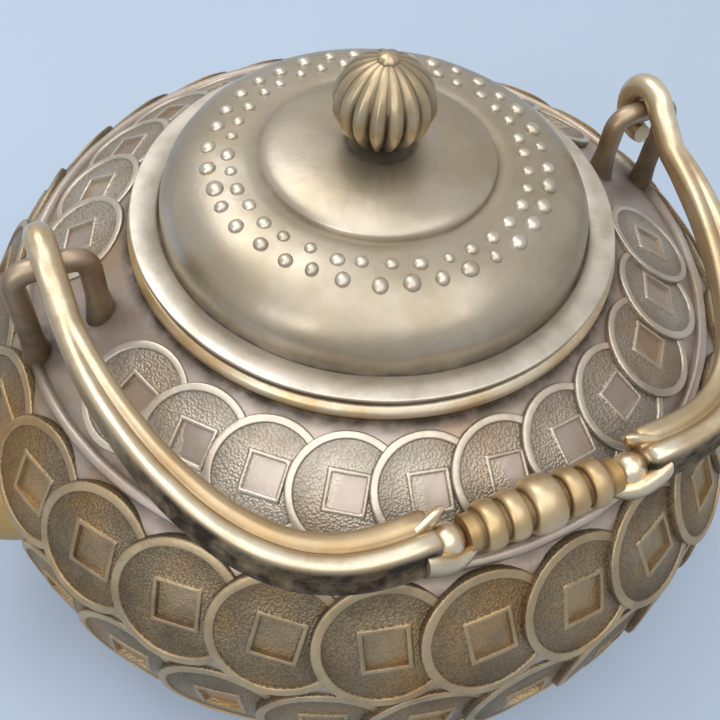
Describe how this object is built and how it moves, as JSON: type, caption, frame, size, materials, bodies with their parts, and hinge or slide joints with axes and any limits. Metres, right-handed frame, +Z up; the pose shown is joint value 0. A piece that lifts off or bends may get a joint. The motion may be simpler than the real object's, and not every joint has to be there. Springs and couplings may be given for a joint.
{
  "type": "coin-relief metal teapot with bail handle",
  "caption": "Squat cast brass teapot with overlapping coin relief, domed lift-off lid with ribbed knob, curved spout and a bail handle that swings on two arched ears.",
  "frame": {"origin": "centre of the foot's underside, on the pot's axis, on the table", "axes": "+Z up along the pot's axis; the spout points to -X; the bail's hinge line lies along X and the bail rests towards -Y"},
  "size_m": [0.2038, 0.1692, 0.1205],
  "materials": {
    "aged_brass": "aged satin",
    "coin_brass": "worn, bright edges",
    "lid_brass": "grey-beige satin",
    "bright_brass": "polished by handling"
  },
  "bodies": {
    "pot": {"body_shell": "aged_brass", "foot": "aged_brass", "mouth_collar": "aged_brass", "shoulder_ridge": "aged_brass", "coins_shoulder": "coin_brass", "coins_belly": "coin_brass", "coins_low": "coin_brass", "spout": "bright_brass", "ear_spout": "aged_brass", "ear_back": "aged_brass"},
    "lid": {"lid_dome": "lid_brass", "lid_sleeve": "lid_brass", "lid_boss": "lid_brass", "lid_beads_inner": "lid_brass", "lid_beads_outer": "lid_brass", "knob": "lid_brass", "knob_button": "lid_brass"},
    "bail": {"bail_arm_spout": "bright_brass", "bail_arm_back": "bright_brass", "bail_pearls": "bright_brass", "bail_grip": "bright_brass", "bail_grip_rings": "bright_brass"}
  },
  "joints": [
    {"name": "lid_lift", "type": "slide", "parent": "pot", "child": "lid", "axis": [0, 0, 1], "range_m": [0, 0.025]},
    {"name": "bail_swing", "type": "hinge", "parent": "pot", "child": "bail", "pos_m": [0, 0, 0.0932], "axis": [-1, 0, 0], "range_deg": [0, 202]}
  ]
}
